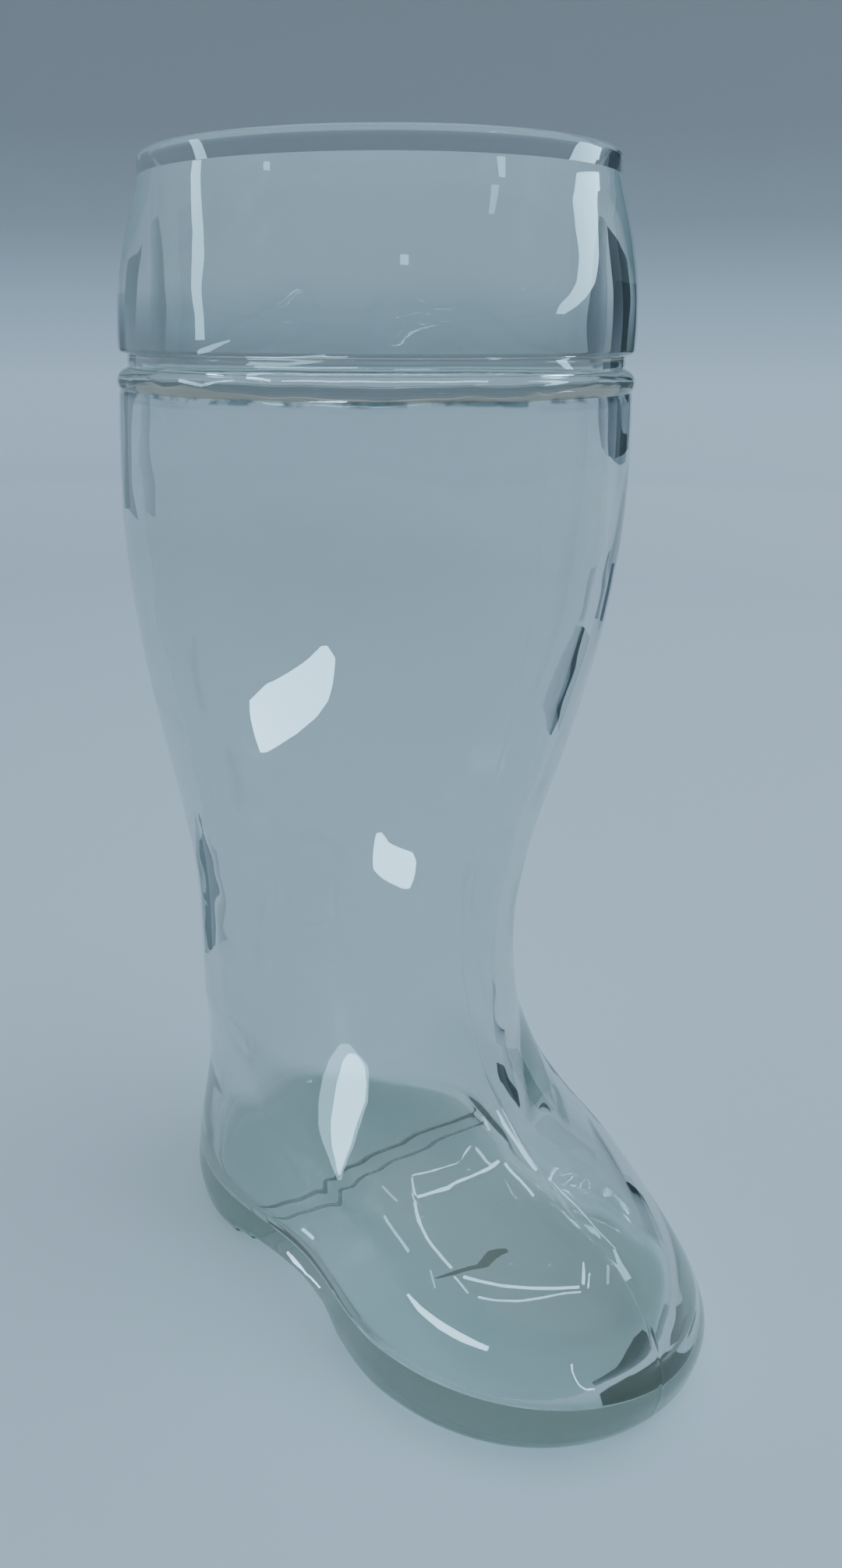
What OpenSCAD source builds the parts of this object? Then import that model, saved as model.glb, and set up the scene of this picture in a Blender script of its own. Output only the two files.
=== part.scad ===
// Beer boot glass of about one litre, in millimetres.
// The floor is at z = 0, the boot's shaft stands on the z axis and the toe points along +x.
// The glass is one melt. Each module is one zone of it, and zones meet face to face.

/* [Height] */
// Height of the whole glass
total_h = 224; // [200:1:260]
// Height of the cuff, from its lower edge to the lip
cuff_h = 34; // [24:1:45]
// Height of the groove under the cuff
groove_h = 2.8; // [2:0.1:5]
// Height of the bead under the groove
bead_h = 4.6; // [3:0.1:8]
// Height at which the instep becomes the ankle
foot_h = 42; // [38:1:50]

/* [Shaft] */
// Largest outer diameter of the calf
calf_d = 99.6; // [92:0.2:108]
// How far the calf draws in under the bead
calf_draw_in = 0.6; // [0.2:0.1:1.5]
// How far the bead stands out from the calf's top
bead_out = 0.3; // [0.2:0.1:1.5]
// Depth of the groove behind the bead
groove_depth = 2.1; // [1.2:0.1:3]
// How far the cuff's lower edge stands out from the groove
cuff_out = 1.4; // [1:0.1:3]
// How far the cuff draws in from its lower edge to the lip
cuff_taper = 4.6; // [2:0.2:7]
// Fore and aft size of the ankle at its narrowest
ankle_l = 74; // [66:1:82]
// Width of the ankle at its narrowest
ankle_w = 70; // [64:1:78]

/* [Foot] */
// Reach of the toe in front of the shaft's axis
toe_reach = 95.5; // [86:0.5:104]
// Reach of the heel behind the shaft's axis
heel_reach = 42; // [39:0.5:46]
// Width of the foot across its outline's frame
foot_w = 80; // [74:1:88]
// Width across the heel, close in front of its back
heel_back_w = 49; // [46:0.5:52]
// Width across the heel at its widest
heel_w = 75.6; // [70:0.2:80]
// Width across the waist of the sole
waist_w = 68; // [62:1:72]
// Width across the ball of the foot
ball_w = 74; // [70:1:80]
// Width across the toe, close behind its tip
toe_w = 48; // [44:1:52]
// Rise of the arch between the heel and the front sole
arch_h = 3; // [2:0.2:4]
// Distance of the heel's front edge in front of the shaft's axis
heel_breast_x = 5; // [0:0.5:14]
// Distance of the front sole's rear edge in front of the shaft's axis
sole_rear_x = 35; // [28:0.5:50]
// Length of the ramp that leads from the arch to the front sole
arch_ramp_l = 8; // [4:0.5:14]

/* [Glass] */
// Thickness of the lip
lip_t = 2.4; // [1.8:0.1:3.2]
// Height of the rounded lip
lip_h = 4; // [3:0.2:6]
// Wall of the cuff at its lower edge
cuff_wall = 5.4; // [4.5:0.1:7]
// Wall of the calf
calf_wall = 4; // [3:0.1:5]
// Wall of the ankle
ankle_wall = 4.2; // [3.4:0.1:5.4]
// Wall at the back of the heel and along the sides of the foot
heel_wall = 3.6; // [3:0.1:5]
// Wall at the front of the toe
toe_wall = 7; // [5:0.2:9]
// Wall of the foot along its widest sides
side_wall = 4.2; // [4:0.1:5.6]
// Thickness of the base under the cavity
base_t = 6.6; // [6:0.2:10]

/* [Hidden] */

ring_points = 64;
foot_steps = 3;
shaft_steps = 2;
turn_fn = 128;
overrun = 1;

// Radii of the shaft's turned zones, from the calf upwards
calf_top_r = calf_d / 2 - calf_draw_in;
bead_out_r = calf_top_r + bead_out;
groove_r = bead_out_r - groove_depth;
cuff_r = groove_r + cuff_out;
rim_r = cuff_r - cuff_taper;

cuff_z = total_h - cuff_h;
groove_z = cuff_z - groove_h;
bead_z = groove_z - bead_h;

// Shaft stations: share of the way from the instep to the bead, the shares of the way from the
// ankle's size to the calf's size at the back, at the front and at the side, and the instep's share.
shaft_shares = [
    [0.056, 0.14, 0.74, 0.01, 0.42],
    [0.099, 0.09, 0.47, 0.00, 0.32],
    [0.169, 0.03, 0.20, 0.00, 0.18],
    [0.240, 0.00, 0.06, 0.02, 0.06],
    [0.311, 0.01, 0.08, 0.10, 0.00],
    [0.388, 0.10, 0.20, 0.25, 0.00],
    [0.523, 0.39, 0.52, 0.56, 0.00],
    [0.671, 0.73, 0.82, 0.84, 0.00],
    [0.805, 0.95, 0.97, 0.98, 0.00],
    [0.912, 1.00, 1.00, 1.00, 0.00]
];
ankle_stations = 4;

// Distance of the ankle's centre behind the shaft's axis, as a share of its length
ankle_back_share = 0.045;
ankle_back = ankle_l * (0.5 + ankle_back_share);
ankle_front = ankle_l * (0.5 - ankle_back_share);

// Foot stations above the base: share of the way from the base to the instep, then shares of
// the heel's reach, the toe's reach and half the foot's width, the share of the sole's outline
// and the share of the instep's narrow front.
foot_shares = [
    [0.00, 0.958, 0.988, 1.000, 1.00, 0.00],
    [0.15, 0.976, 1.000, 0.982, 0.96, 0.06],
    [0.33, 0.988, 0.988, 0.956, 0.84, 0.16],
    [0.51, 0.996, 0.946, 0.928, 0.66, 0.27],
    [0.67, 1.000, 0.872, 0.904, 0.50, 0.36],
    [0.77, 1.000, 0.766, 0.888, 0.40, 0.40],
    [0.87, 1.000, 0.670, 0.878, 0.28, 0.44],
    [1.00, 0.998, 0.578, 0.872, 0.14, 0.46]
];

// Stations of the base below the cavity's floor: share of the arch's rise or of the base
// above it, then the same shares as for the foot.
edge_shares = [
    [0.00, 0.865, 0.905, 0.930, 1.00, 0.00],
    [0.20, 0.895, 0.936, 0.960, 1.00, 0.00],
    [0.55, 0.920, 0.956, 0.980, 1.00, 0.00],
    [1.00, 0.936, 0.970, 0.992, 1.00, 0.00]
];
base_shares = [
    [0.00, 0.936, 0.970, 0.992, 1.00, 0.00],
    [0.50, 0.948, 0.981, 0.999, 1.00, 0.00],
    [1.00, 0.958, 0.988, 1.000, 1.00, 0.00]
];

// Cavity stations in the foot: share of the way from the cavity's floor to the instep, shares
// of the heel's and the toe's inner reach and of half the inner width, and the last two shares
// as for the foot.
cavity_shares = [
    [0.00, 0.920, 0.945, 0.915, 1.00, 0.00],
    [0.02, 0.950, 0.972, 0.950, 1.00, 0.00],
    [0.06, 0.974, 0.990, 0.974, 0.99, 0.02],
    [0.14, 0.990, 1.000, 0.982, 0.94, 0.06],
    [0.26, 0.994, 1.000, 0.968, 0.88, 0.12],
    [0.41, 1.000, 0.970, 0.945, 0.76, 0.20],
    [0.55, 1.000, 0.896, 0.920, 0.62, 0.28],
    [0.65, 1.000, 0.786, 0.902, 0.50, 0.34],
    [0.75, 1.000, 0.694, 0.885, 0.40, 0.39],
    [0.88, 1.000, 0.606, 0.870, 0.26, 0.43],
    [1.00, 0.997, 0.556, 0.864, 0.14, 0.46]
];

// The sole's outline goes through its named widths at even turns of the round outline, with
// these shares of a round end at the heel's back and at the toe's tip
end_round_shares = [1.27, 1.22];
plan_widths = [heel_back_w, heel_w, waist_w, ball_w, toe_w];
plan_turn = 180 / (len(plan_widths) + 1);

heel_in = heel_reach - heel_wall;
toe_in = toe_reach - toe_wall;
side_in = foot_w / 2 - side_wall;

// A smooth curve through the stations, where t counts stations from zero
function clamp_index(i, n) = max(0, min(n - 1, i));
function curve(a, b, c, d, u) =
    b + ((c - a) * u + (2 * a - 5 * b + 4 * c - d) * u * u + (3 * b - a - 3 * c + d) * u * u * u) / 2;
function station(rows, t) =
    let (n = len(rows), i = clamp_index(floor(t), n - 1), u = t - i)
    [for (k = [0 : len(rows[0]) - 1])
        curve(rows[clamp_index(i - 1, n)][k], rows[i][k], rows[i + 1][k], rows[clamp_index(i + 2, n)][k], u)];
function stations(rows, first, last, steps) =
    [for (s = [first * steps : last * steps]) station(rows, s / steps)];

// How far the sole's outline stands out at a turn, over the round outline's own
plan_factors = concat(
    [end_round_shares[0]],
    [for (i = [0 : len(plan_widths) - 1]) plan_widths[i] / (foot_w * sin((i + 1) * plan_turn))],
    [end_round_shares[1]]
);
function mirrored(i) =
    let (n = len(plan_factors) - 1)
    plan_factors[n - abs(n - abs(i))];
function plan_factor(a) =
    let (t = (180 - abs(180 - a)) / plan_turn, i = min(floor(t), len(plan_factors) - 2))
    curve(mirrored(i - 1), mirrored(i), mirrored(i + 1), mirrored(i + 2), t - i);

// One closed outline at a height: row is height, back, front, half width and the two shares
function narrow(c) = 1 - pow(min(c, 0), 2);
function outline(row) =
    [for (i = [0 : ring_points - 1])
        let (
            a = 360 * i / ring_points,
            c = cos(a),
            f = (1 + row[4] * (plan_factor(a) - 1)) * (1 + row[5] * (narrow(c) - 1))
        )
        [-row[1] + (row[1] + row[2]) * (1 - c) / 2, -row[3] * sin(a) * f, row[0]]];

// Rows of outlines in real sizes
function foot_rows(rows, z, h) =
    [for (r = rows) [z + r[0] * h, r[1] * heel_reach, r[2] * toe_reach, r[3] * foot_w / 2, r[4], r[5]]];
function cavity_rows() =
    [for (r = cavity_shares)
        [base_t + r[0] * (foot_h - base_t), r[1] * heel_in, r[2] * toe_in, r[3] * side_in, r[4], r[5]]];
function shaft_row(r, inset_low, inset_high) =
    let (inset = inset_low + (inset_high - inset_low) * r[0])
    [
        foot_h + r[0] * (bead_z - foot_h),
        ankle_back + r[1] * (calf_d / 2 - ankle_back) - inset,
        ankle_front + r[2] * (calf_d / 2 - ankle_front) - inset,
        ankle_w / 2 + r[3] * (calf_d - ankle_w) / 2 - inset,
        0,
        r[4]
    ];
function calf_top_row(inset) =
    let (r = calf_top_r - inset)
    [bead_z, r, r, r, 0, 0];
instep_outer = foot_rows([foot_shares[len(foot_shares) - 1]], base_t, foot_h - base_t);
instep_inner = [cavity_rows()[len(cavity_shares) - 1]];
shaft_outer = concat(instep_outer, [for (r = shaft_shares) shaft_row(r, 0, 0)], [calf_top_row(0)]);
shaft_inner = concat(
    instep_inner,
    [for (r = shaft_shares) shaft_row(r, ankle_wall, calf_wall)],
    [calf_top_row(calf_wall)]
);
ankle_top = ankle_stations + 1;
calf_top = len(shaft_outer) - 1;

// Triangles between neighbouring outlines, and from the last back to the first
function band_faces(first, second) =
    [for (i = [0 : ring_points - 1], k = [0 : 1])
        let (j = (i + 1) % ring_points)
        k == 0 ? [first + i, second + i, second + j] : [first + i, second + j, first + j]];
function stack_faces(count) =
    [for (r = [0 : count - 2]) each band_faces(r * ring_points, (r + 1) * ring_points)];

// A closed body between two flat ends, from rows that go upwards
module solid_stack(rows) {
    n = len(rows);
    polyhedron(
        points = [for (r = rows) each outline(r)],
        faces = concat(
            stack_faces(n),
            [[for (i = [0 : ring_points - 1]) i]],
            [[for (i = [ring_points - 1 : -1 : 0]) (n - 1) * ring_points + i]]
        ),
        convexity = 4
    );
}

// A wall that goes round the cavity: rows up the outside and down the inside
module wall_stack(outer, inner) {
    rows = concat(outer, [for (i = [len(inner) - 1 : -1 : 0]) inner[i]]);
    n = len(rows);
    polyhedron(
        points = [for (r = rows) each outline(r)],
        faces = concat(stack_faces(n), band_faces((n - 1) * ring_points, 0)),
        convexity = 8
    );
}

// Inner radii, and the places and roundings of the turned zones
cuff_in_r = cuff_r - cuff_wall;
rim_in_r = rim_r - lip_t;
groove_in_r = cuff_in_r;
bead_in_r = calf_top_r - calf_wall;
rim_z = total_h - lip_h;
// Height of the cuff's upright foot, and the rounding of its lower edge, as shares of its height
cuff_band_share = 0.14;
cuff_band_h = cuff_h * cuff_band_share;
edge_share = 0.3;
edge_r = groove_h * edge_share;
bead_r = bead_h / 2;

function arc(cx, cz, r, from, to, n) =
    [for (i = [0 : n]) [cx + r * cos(from + (to - from) * i / n), cz + r * sin(from + (to - from) * i / n)]];
arc_steps = 8;

module turned(points) {
    rotate_extrude($fn = turn_fn)
        polygon(points);
}

// The rounded lip that is drunk from
module rim() {
    color([0.80, 0.88, 0.88, 0.5])
        turned(concat(
            [[rim_in_r, rim_z], [rim_r, rim_z]],
            arc(rim_r - lip_t / 2, total_h - lip_t / 2, lip_t / 2, 0, 180, arc_steps)
        ));
}

// The tapered cuff, thick at its lower edge and thin at the lip
module cuff() {
    color([0.70, 0.82, 0.84, 0.5])
        turned(concat(
            [[cuff_in_r, cuff_z]],
            arc(cuff_r - edge_r, cuff_z + edge_r, edge_r, -90, 0, arc_steps),
            [[cuff_r, cuff_z + cuff_band_h], [rim_r, rim_z], [rim_in_r, rim_z]]
        ));
}

// The recess between the cuff and the bead
module groove() {
    color([0.60, 0.74, 0.76, 0.5])
        translate([0, 0, groove_z])
            difference() {
                cylinder(r = groove_r, h = groove_h, $fn = turn_fn);
                translate([0, 0, -overrun])
                    cylinder(r = groove_in_r, h = groove_h + 2 * overrun, $fn = turn_fn);
            }
}

// The ring that stands out under the groove
module bead() {
    color([0.66, 0.80, 0.80, 0.5])
        turned(concat(
            [[bead_in_r, bead_z], [calf_top_r, bead_z]],
            arc(bead_out_r - bead_r, bead_z + bead_r, bead_r, 0, 90, arc_steps),
            [[groove_in_r, groove_z]]
        ));
}

// The calf, from the ankle's top to the bead
module calf() {
    color([0.72, 0.84, 0.86, 0.5])
        wall_stack(
            stations(shaft_outer, ankle_top, calf_top, shaft_steps),
            stations(shaft_inner, ankle_top, calf_top, shaft_steps)
        );
}

// The ankle, from the instep to the calf
module ankle() {
    color([0.64, 0.78, 0.80, 0.5])
        wall_stack(
            stations(shaft_outer, 0, ankle_top, shaft_steps),
            stations(shaft_inner, 0, ankle_top, shaft_steps)
        );
}

// The vamp, the toe and the heel's counter, round the cavity above the base
module foot() {
    color([0.70, 0.83, 0.82, 0.5])
        wall_stack(
            stations(foot_rows(foot_shares, base_t, foot_h - base_t), 0, len(foot_shares) - 1, foot_steps),
            stations(cavity_rows(), 0, len(cavity_shares) - 1, foot_steps)
        );
}

// The thick base under the cavity, above the arch
module base() {
    color([0.55, 0.68, 0.66, 0.6])
        solid_stack(stations(foot_rows(base_shares, arch_h, base_t - arch_h), 0, len(base_shares) - 1, shaft_steps));
}

// The part of the base that stands on the floor, before the arch is left out
module tread() {
    solid_stack(stations(foot_rows(edge_shares, 0, arch_h), 0, len(edge_shares) - 1, shaft_steps));
}

// The block under the heel, cut off straight at the breast
module heel() {
    color([0.48, 0.60, 0.58, 0.6])
        intersection() {
            tread();
            translate([-heel_reach - overrun, -foot_w / 2 - overrun, 0])
                cube([heel_reach + overrun + heel_breast_x, foot_w + 2 * overrun, arch_h]);
        }
}

// The front sole, which starts with a ramp at the arch
module front_sole() {
    color([0.48, 0.60, 0.58, 0.6])
        intersection() {
            tread();
            translate([0, foot_w / 2 + overrun, 0])
                rotate([90, 0, 0])
                    linear_extrude(foot_w + 2 * overrun)
                        polygon([
                            [sole_rear_x, arch_h],
                            [sole_rear_x + arch_ramp_l, 0],
                            [toe_reach + overrun, 0],
                            [toe_reach + overrun, arch_h]
                        ]);
        }
}

rim();
cuff();
groove();
bead();
calf();
ankle();
foot();
base();
heel();
front_sole();
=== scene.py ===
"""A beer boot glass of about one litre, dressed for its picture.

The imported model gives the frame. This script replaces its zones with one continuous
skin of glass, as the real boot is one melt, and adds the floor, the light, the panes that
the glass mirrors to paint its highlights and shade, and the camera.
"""

import logging
import math
from dataclasses import dataclass, field
from enum import Enum
from typing import Iterable, List, Sequence, Tuple, Union

import bmesh
import bpy
from mathutils import Matrix, Vector, noise


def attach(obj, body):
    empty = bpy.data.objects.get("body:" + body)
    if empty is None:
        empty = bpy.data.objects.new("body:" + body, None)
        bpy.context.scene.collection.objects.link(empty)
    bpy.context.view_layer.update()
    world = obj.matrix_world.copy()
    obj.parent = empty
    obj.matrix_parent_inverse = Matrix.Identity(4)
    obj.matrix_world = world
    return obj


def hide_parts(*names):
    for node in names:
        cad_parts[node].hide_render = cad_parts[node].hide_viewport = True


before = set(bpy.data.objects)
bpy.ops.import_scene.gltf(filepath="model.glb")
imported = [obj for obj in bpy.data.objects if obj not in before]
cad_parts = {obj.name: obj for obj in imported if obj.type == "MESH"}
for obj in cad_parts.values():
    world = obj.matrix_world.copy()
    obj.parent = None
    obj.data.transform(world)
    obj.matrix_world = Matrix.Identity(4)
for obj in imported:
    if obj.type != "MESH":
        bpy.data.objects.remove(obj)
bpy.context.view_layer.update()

LOG = logging.getLogger("boot_glass")
MM = 0.001
Point = Tuple[float, float, float]
Colour = Tuple[float, float, float, float]
Rows = Tuple[Tuple[float, ...], ...]
Tree = bpy.types.NodeTree
Socket = bpy.types.NodeSocket
Feed = Union[float, Colour, Socket]
BMesh = bmesh.types.BMesh
Vert = bmesh.types.BMVert


class Side(Enum):
    """Which skin of the wall a station belongs to."""

    OUTER = 1
    INNER = -1


class Seen(Enum):
    """Where a pane beside the glass is seen."""

    SKIN = "mirrored in the glass"
    THROUGH = "through the glass"
    BOTH = "mirrored in the glass and through it"


@dataclass(frozen=True)
class Station:
    """One closed outline of the glass at a height, in millimetres."""

    z: float
    back: float
    front: float
    half: float
    sole: float = 0.0
    instep: float = 0.0

    def values(self) -> Tuple[float, ...]:
        """The station's numbers in order, for blending."""
        return (self.z, self.back, self.front, self.half, self.sole, self.instep)

    def scaled(self, share: float, z: float) -> "Station":
        """The same outline drawn in towards its middle.

        Args:
            share: Size of the new outline as a share of this one.
            z: Height of the new outline.

        Returns:
            The smaller outline.
        """
        middle = (self.front - self.back) / 2
        reach = (self.front + self.back) / 2 * share
        return Station(z, reach - middle, reach + middle, self.half * share, self.sole, self.instep)


def round_station(z: float, radius: float) -> Station:
    """A station of a turned zone."""
    return Station(z, radius, radius, radius)


def feed(tree: Tree, socket: Socket, value: Feed) -> None:
    """Links an input of a node, or sets its constant.

    Args:
        tree: The node's tree.
        socket: The input.
        value: The output to link, or the constant.
    """
    if isinstance(value, Socket):
        tree.links.new(value, socket)
    else:
        socket.default_value = value


def add_node(tree: Tree, kind: str, **inputs: Feed) -> bpy.types.Node:
    """Adds a node.

    Args:
        tree: The tree that gets it.
        kind: Its type, without the prefix that all of them share.
        inputs: Its inputs by name, with an underscore for each space.

    Returns:
        The node.
    """
    node = tree.nodes.new("ShaderNode" + kind)
    for name, value in inputs.items():
        feed(tree, node.inputs[name.replace("_", " ")], value)
    return node


def add_math(tree: Tree, operation: str, *inputs: Feed) -> Socket:
    """Adds a math node.

    Args:
        tree: The tree that gets it.
        operation: What it does.
        inputs: Its inputs in order.

    Returns:
        Its output.
    """
    node = tree.nodes.new("ShaderNodeMath")
    node.operation = operation
    for socket, value in zip(node.inputs, inputs):
        feed(tree, socket, value)
    return node.outputs["Value"]


def mix_shaders(tree: Tree, share: Feed, first: Socket, second: Socket) -> Socket:
    """Adds a mix of two shaders.

    Args:
        tree: The tree that gets it.
        share: The second shader's share.
        first: The first shader.
        second: The second shader.

    Returns:
        The mixed shader.
    """
    node = tree.nodes.new("ShaderNodeMixShader")
    for socket, value in zip(node.inputs, (share, first, second)):
        feed(tree, socket, value)
    return node.outputs["Shader"]


def new_material(name: str) -> bpy.types.Material:
    """Makes a material that has nodes."""
    mat = bpy.data.materials.new(name)
    mat.use_nodes = True
    return mat


def place_mesh(name: str, bm: BMesh) -> bpy.types.Object:
    """Puts a finished mesh into the scene, at the origin.

    Args:
        name: Name of the object and its mesh.
        bm: The mesh, which is freed.

    Returns:
        The object.
    """
    mesh = bpy.data.meshes.new(name)
    bm.to_mesh(mesh)
    bm.free()
    item = bpy.data.objects.new(name, mesh)
    bpy.context.scene.collection.objects.link(item)
    return item


def ring_edges(bm: BMesh, ring: Sequence[Vert]) -> List[bmesh.types.BMEdge]:
    """The edges between neighbours in a closed ring."""
    return [bm.edges.get(pair) for pair in zip(ring, [*ring[1:], ring[0]])]


def spline(a: float, b: float, c: float, d: float, u: float) -> float:
    """The smooth curve through four even values.

    Args:
        a: Value before the span.
        b: Value at the span's start.
        c: Value at the span's end.
        d: Value after the span.
        u: Place in the span, from 0 to 1.

    Returns:
        The value at that place.
    """
    return b + ((c - a) * u + (2 * a - 5 * b + 4 * c - d) * u**2 + (3 * b - a - 3 * c + d) * u**3) / 2


@dataclass(frozen=True)
class SolePlan:
    """The sole's outline, as widths at even turns of a round outline."""

    frame_w: float = 80.0
    widths: Tuple[float, ...] = (49.0, 75.6, 68.0, 74.0, 48.0)
    end_rounds: Tuple[float, float] = (1.27, 1.22)

    def factors(self) -> List[float]:
        """How far the outline stands out at each turn, over the round one."""
        turn = math.pi / (len(self.widths) + 1)
        middle = [w / (self.frame_w * math.sin((i + 1) * turn)) for i, w in enumerate(self.widths)]
        return [self.end_rounds[0], *middle, self.end_rounds[1]]

    def factor(self, angle: float) -> float:
        """The outline's factor at an angle.

        Args:
            angle: Angle from the heel's back, in radians.

        Returns:
            The factor over the round outline.
        """
        table = self.factors()
        last = len(table) - 1
        place = (math.pi - abs(math.pi - angle % (2 * math.pi))) / math.pi * last
        i = min(int(place), last - 1)
        near = [table[last - abs(last - abs(k))] for k in range(i - 1, i + 3)]
        return spline(*near, place - i)


@dataclass
class ShaftSizes:
    """Sizes of the shaft, from the ankle to the lip, in millimetres."""

    total_h: float = 224.0
    cuff_z: float = 190.0
    groove_z: float = 187.2
    bead_z: float = 182.6
    rim_z: float = 220.0
    cuff_r: float = 49.05
    cuff_in_r: float = 43.4
    rim_r: float = 44.2
    rim_in_r: float = 41.8
    groove_r: float = 47.4
    bead_r: float = 49.5
    groove_round: float = 0.4
    cuff_round: float = 0.8
    calf_r: float = 49.8
    calf_top_r: float = 49.2
    calf_wall: float = 4.0
    ankle_wall: float = 4.2
    ankle_back: float = 40.33
    ankle_front: float = 33.67
    ankle_half: float = 35.0
    cuff: Rows = (
        (194.5, 49.05), (199.0, 48.8), (203.5, 48.25), (208.0, 47.4),
        (212.5, 46.35), (217.0, 45.05), (220.0, 44.2),
    )
    shares: Rows = (
        (0.056, 0.14, 0.74, 0.01, 0.42),
        (0.099, 0.09, 0.47, 0.00, 0.32),
        (0.169, 0.03, 0.20, 0.00, 0.18),
        (0.240, 0.00, 0.06, 0.02, 0.06),
        (0.311, 0.01, 0.08, 0.10, 0.00),
        (0.388, 0.10, 0.20, 0.25, 0.00),
        (0.523, 0.39, 0.52, 0.56, 0.00),
        (0.671, 0.73, 0.82, 0.84, 0.00),
        (0.805, 0.95, 0.97, 0.98, 0.00),
        (0.912, 1.00, 1.00, 1.00, 0.00),
    )


@dataclass
class FootSizes:
    """Sizes of the foot, from the floor to the instep, in millimetres."""

    foot_h: float = 42.0
    arch_h: float = 3.0
    base_t: float = 6.6
    heel_reach: float = 42.0
    toe_reach: float = 95.5
    half_w: float = 40.0
    heel_wall: float = 3.6
    toe_wall: float = 7.0
    side_wall: float = 4.2
    breast_x: float = 5.0
    sole_rear_x: float = 35.0
    ramp_l: float = 8.0
    ramp_steps: int = 12
    breast_back: float = 1.0
    breast_round: float = 1.2
    breast_lean: float = 4.2
    lift_top: float = 5.3
    sole_share: float = 0.97
    edge: Rows = (
        (0.00, 0.865, 0.905, 0.930, 1.00, 0.0),
        (0.20, 0.895, 0.936, 0.960, 1.00, 0.0),
        (0.55, 0.920, 0.956, 0.980, 1.00, 0.0),
        (1.00, 0.936, 0.970, 0.992, 1.00, 0.0),
    )
    base: Rows = ((0.50, 0.948, 0.981, 0.999, 1.00, 0.0),)
    foot: Rows = (
        (0.00, 0.958, 0.988, 1.000, 1.00, 0.00),
        (0.15, 0.976, 1.000, 0.982, 0.96, 0.06),
        (0.33, 0.988, 0.988, 0.956, 0.84, 0.16),
        (0.51, 0.996, 0.946, 0.928, 0.66, 0.27),
        (0.67, 1.000, 0.872, 0.904, 0.50, 0.36),
        (0.77, 1.000, 0.766, 0.888, 0.40, 0.40),
        (0.87, 1.000, 0.670, 0.878, 0.28, 0.44),
        (1.00, 0.998, 0.578, 0.872, 0.14, 0.46),
    )
    cavity: Rows = (
        (0.00, 0.920, 0.945, 0.915, 1.00, 0.00),
        (0.02, 0.950, 0.972, 0.950, 1.00, 0.00),
        (0.06, 0.974, 0.990, 0.974, 0.99, 0.02),
        (0.14, 0.990, 1.000, 0.982, 0.94, 0.06),
        (0.26, 0.994, 1.000, 0.968, 0.88, 0.12),
        (0.41, 1.000, 0.970, 0.945, 0.76, 0.20),
        (0.55, 1.000, 0.896, 0.920, 0.62, 0.28),
        (0.65, 1.000, 0.786, 0.902, 0.50, 0.34),
        (0.75, 1.000, 0.694, 0.885, 0.40, 0.39),
        (0.88, 1.000, 0.606, 0.870, 0.26, 0.43),
        (1.00, 0.997, 0.556, 0.864, 0.14, 0.46),
    )
    floor: Rows = (
        (0.93, 0.05), (0.84, 0.10), (0.70, 0.12), (0.50, 0.10), (0.32, 0.06), (0.16, 0.02), (0.05, 0.00),
    )


def blend_stations(rows: Sequence[Station], pitch: float) -> List[Station]:
    """Fills the spans between stations along a smooth curve.

    Args:
        rows: The stations, in order.
        pitch: Largest distance between neighbours, in millimetres.

    Returns:
        The stations with the new ones between them.
    """
    last = len(rows) - 1
    filled: List[Station] = []
    for i in range(last):
        near = [rows[min(max(k, 0), last)].values() for k in (i - 1, i, i + 1, i + 2)]
        span = max(abs(near[2][k] - near[1][k]) for k in range(4))
        steps = max(1, math.ceil(span / pitch))
        for s in range(steps):
            filled.append(Station(*[spline(*[row[k] for row in near], s / steps) for k in range(6)]))
    return filled + [rows[last]]


def arc(r: float, z: float, radius: float, start: float, end: float, steps: int) -> List[Station]:
    """Round stations along an arc of the turned profile.

    Args:
        r: Distance of the arc's centre from the axis.
        z: Height of the arc's centre.
        radius: Radius of the arc.
        start: First angle, in degrees, from outwards towards up.
        end: Last angle, in degrees.
        steps: Number of spans.

    Returns:
        The stations in order.
    """
    turns = [math.radians(start + (end - start) * i / steps) for i in range(steps + 1)]
    return [round_station(z + radius * math.sin(t), r + radius * math.cos(t)) for t in turns]


def straight(first: Station, last: Station, pitch: float) -> List[Station]:
    """Stations between two others along straight lines.

    Args:
        first: The station before them.
        last: The station after them.
        pitch: Largest distance between neighbours, in millimetres.

    Returns:
        The stations, without the two ends.
    """
    steps = max(1, math.ceil(abs(last.z - first.z) / pitch))
    a, b = first.values(), last.values()
    return [Station(*[a[k] + (b[k] - a[k]) * s / steps for k in range(6)]) for s in range(1, steps)]


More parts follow.
